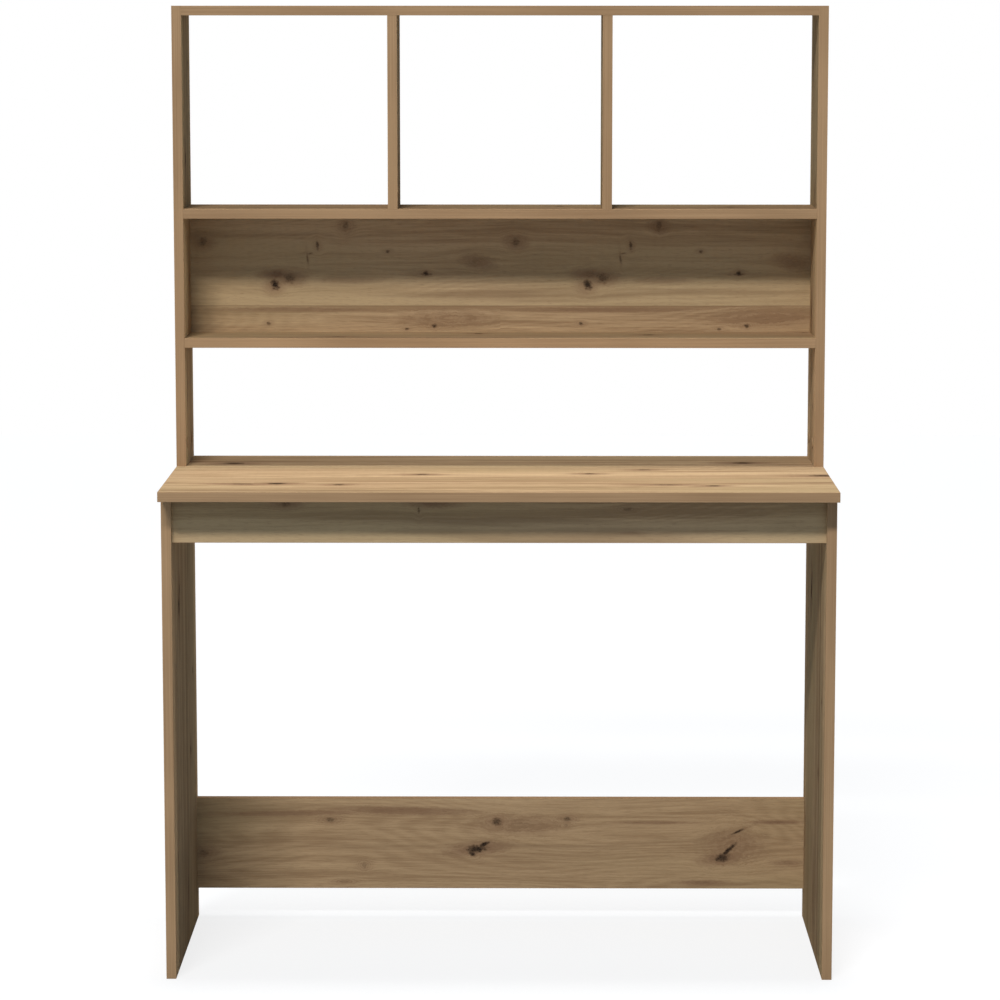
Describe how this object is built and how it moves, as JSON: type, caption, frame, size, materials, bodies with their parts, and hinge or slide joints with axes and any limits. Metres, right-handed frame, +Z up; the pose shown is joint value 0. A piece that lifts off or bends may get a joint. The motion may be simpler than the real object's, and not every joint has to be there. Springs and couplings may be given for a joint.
{
  "type": "study desk with hutch",
  "caption": "Oak-decor study desk: slab legs, set-back apron and rear panel under an overhanging top, with a shallow open hutch of cubbies, a backed bay and a free gap above the top.",
  "frame": {"origin": "on the floor, under the middle of the desk top's outline", "axes": "+X to the right seen from the front, +Y to the back, +Z up"},
  "size_m": [1.02, 0.45, 1.48],
  "materials": {
    "oak_board": "satin oak-decor face on engineered board",
    "oak_edge_band": "matt oak-tone edge band",
    "zinc_casting": "bare zinc casting",
    "plated_steel": "zinc-plated steel",
    "beech": "bare beech",
    "tan_plastic": "matt oak-tone plastic"
  },
  "bodies": {
    "root": {"cam_bolts": "plated_steel", "cam_covers": "tan_plastic", "cam_locks": "zinc_casting", "desk_top": "oak_board", "desk_top_edge_band": "oak_edge_band", "divider_1": "oak_board", "divider_1_edge_band": "oak_edge_band", "divider_2": "oak_board", "divider_2_edge_band": "oak_edge_band", "dowels": "beech", "front_apron": "oak_board", "front_apron_edge_band": "oak_edge_band", "hutch_back": "oak_board", "hutch_top": "oak_board", "hutch_top_edge_band": "oak_edge_band", "left_leg": "oak_board", "left_leg_edge_band": "oak_edge_band", "left_upright": "oak_board", "left_upright_edge_band": "oak_edge_band", "lower_shelf": "oak_board", "lower_shelf_edge_band": "oak_edge_band", "rear_panel": "oak_board", "rear_panel_edge_band": "oak_edge_band", "right_leg": "oak_board", "right_leg_edge_band": "oak_edge_band", "right_upright": "oak_board", "right_upright_edge_band": "oak_edge_band", "through_bolts": "plated_steel", "upper_shelf": "oak_board", "upper_shelf_edge_band": "oak_edge_band"}
  },
  "joints": []
}
